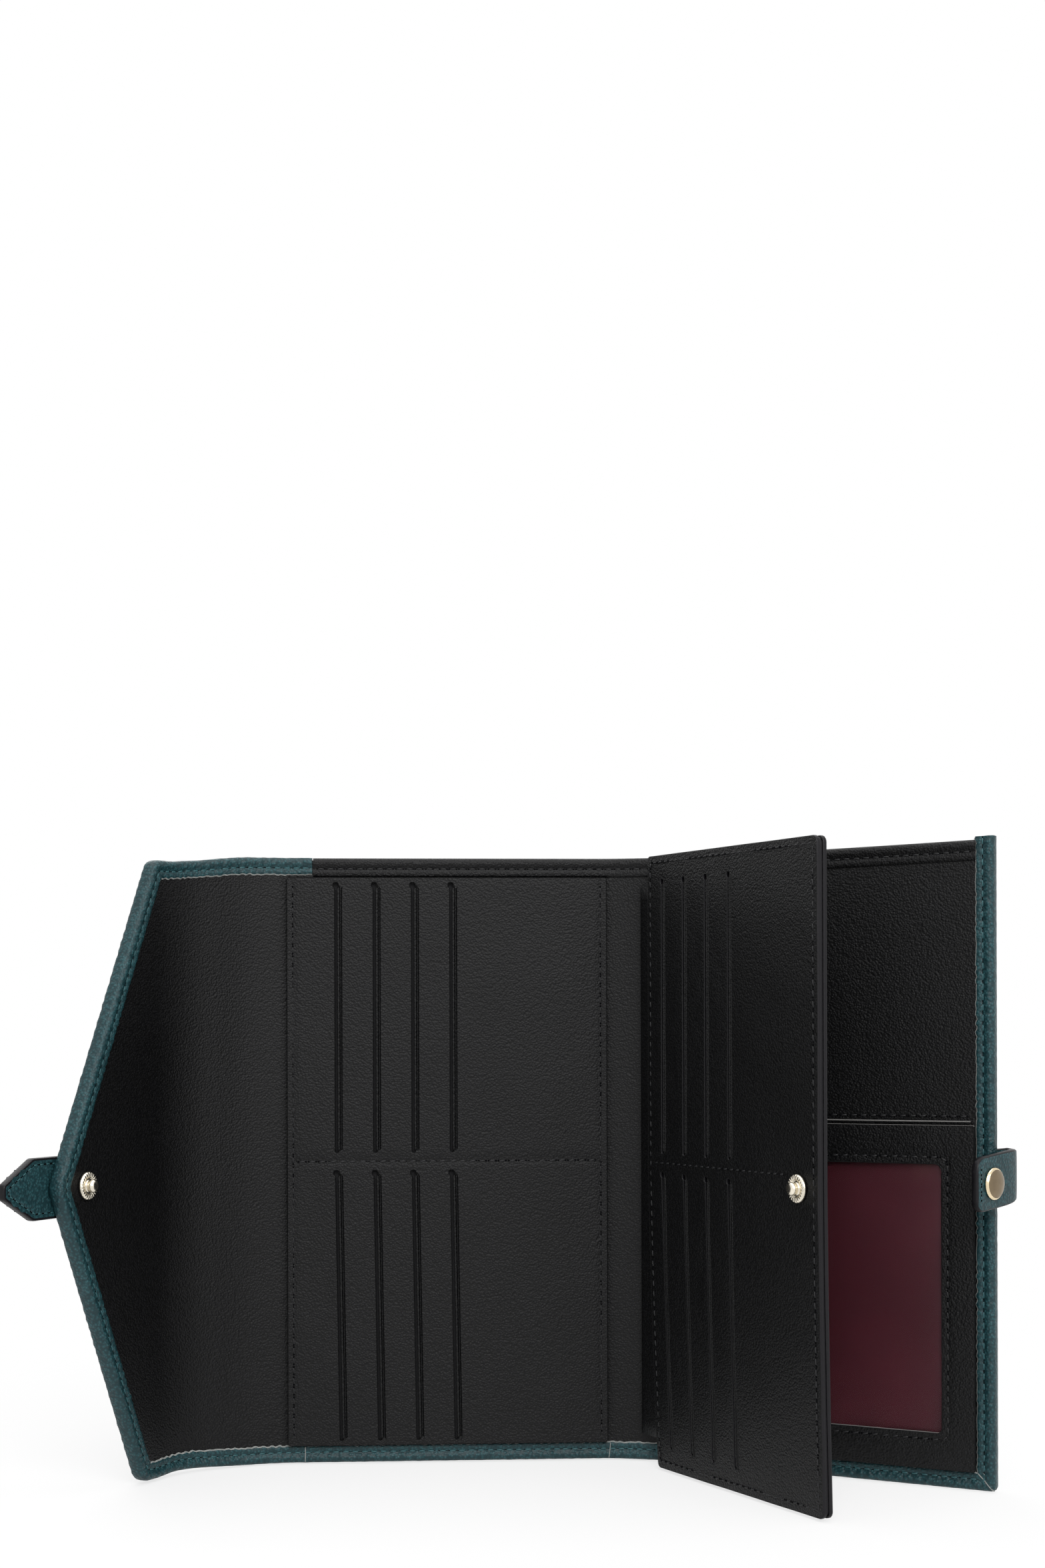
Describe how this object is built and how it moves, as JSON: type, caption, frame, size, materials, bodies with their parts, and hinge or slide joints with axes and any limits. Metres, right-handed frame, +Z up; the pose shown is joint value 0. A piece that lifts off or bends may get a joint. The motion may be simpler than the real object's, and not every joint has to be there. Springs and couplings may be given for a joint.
{
  "type": "travel wallet",
  "caption": "Trifold leather travel wallet standing open, with a pointed snap flap, vertical card slots, a hinged card leaf, a window pocket and a snap strap",
  "frame": {"origin": "middle of the centre panel's bottom edge, on the floor", "axes": "+Z up, +X right along the centre panel, -Y out of its inner face towards the viewer"},
  "size_m": [0.3031, 0.0947, 0.197],
  "materials": {
    "teal_leather": "pebbled, semi-matt",
    "black_leather": "fine grain, semi-matt",
    "black_cloth": "woven, matt",
    "burgundy_cloth": "woven, matt",
    "gold_metal": "polished",
    "film": "clear, glossy"
  },
  "bodies": {
    "centre": {"centre_shell": "teal_leather", "centre_lining": "black_leather", "centre_bottom_binding": "teal_leather", "centre_top_binding": "teal_leather", "card_pocket_cloth": "black_cloth", "card_panel": "black_leather"},
    "edge_strip": {"edge_shell": "teal_leather", "edge_lining": "black_leather", "edge_top_binding": "teal_leather", "edge_bottom_binding": "teal_leather"},
    "flap": {"flap_shell": "teal_leather", "flap_lining": "black_leather", "flap_binding": "teal_leather", "closing_tab": "teal_leather", "flap_stud": "gold_metal", "flap_stud_cap": "gold_metal"},
    "spine": {"spine_shell": "teal_leather", "spine_lining": "black_leather", "spine_bottom_binding": "teal_leather", "leaf_hinge_strip": "black_leather"},
    "leaf": {"leaf_front_panel": "black_leather", "leaf_hinge_cloth": "black_cloth", "leaf_back_panel": "black_leather", "leaf_stud": "gold_metal", "leaf_stud_back": "gold_metal"},
    "cover": {"cover_shell": "teal_leather", "cover_lining": "black_leather", "cover_binding": "teal_leather", "window_pocket_panel": "black_leather", "window_film": "film", "window_backing": "burgundy_cloth", "snap_strap": "teal_leather", "strap_cap": "gold_metal", "cover_socket": "gold_metal"}
  },
  "joints": [
    {"name": "edge_fold", "type": "hinge", "parent": "centre", "child": "edge_strip", "pos_m": [-0.0577, 0, 0.0985], "axis": [0, 0, 1], "range_deg": [-27.5, 62.5]},
    {"name": "flap_fold", "type": "hinge", "parent": "edge_strip", "child": "flap", "pos_m": [-0.08431, -0.01385, 0.0985], "axis": [0, 0, 1], "range_deg": [-34, 56]},
    {"name": "spine_fold", "type": "hinge", "parent": "centre", "child": "spine", "pos_m": [0.0577, 0, 0.0985], "axis": [0, 0, -1], "range_deg": [-15.7, 74.3]},
    {"name": "cover_fold", "type": "hinge", "parent": "spine", "child": "cover", "pos_m": [0.07792, -0.00568, 0.0985], "axis": [0, 0, -1], "range_deg": [-15.7, 74.3]},
    {"name": "leaf_turn", "type": "hinge", "parent": "spine", "child": "leaf", "pos_m": [0.06643, -0.00775, 0.0985], "axis": [0, 0, -1], "range_deg": [-9, 42.3]}
  ],
  "couplings": [
    {"joint": "cover_fold", "follows": "spine_fold", "ratio": 1},
    {"joint": "leaf_turn", "follows": "spine_fold", "ratio": 0.568}
  ]
}
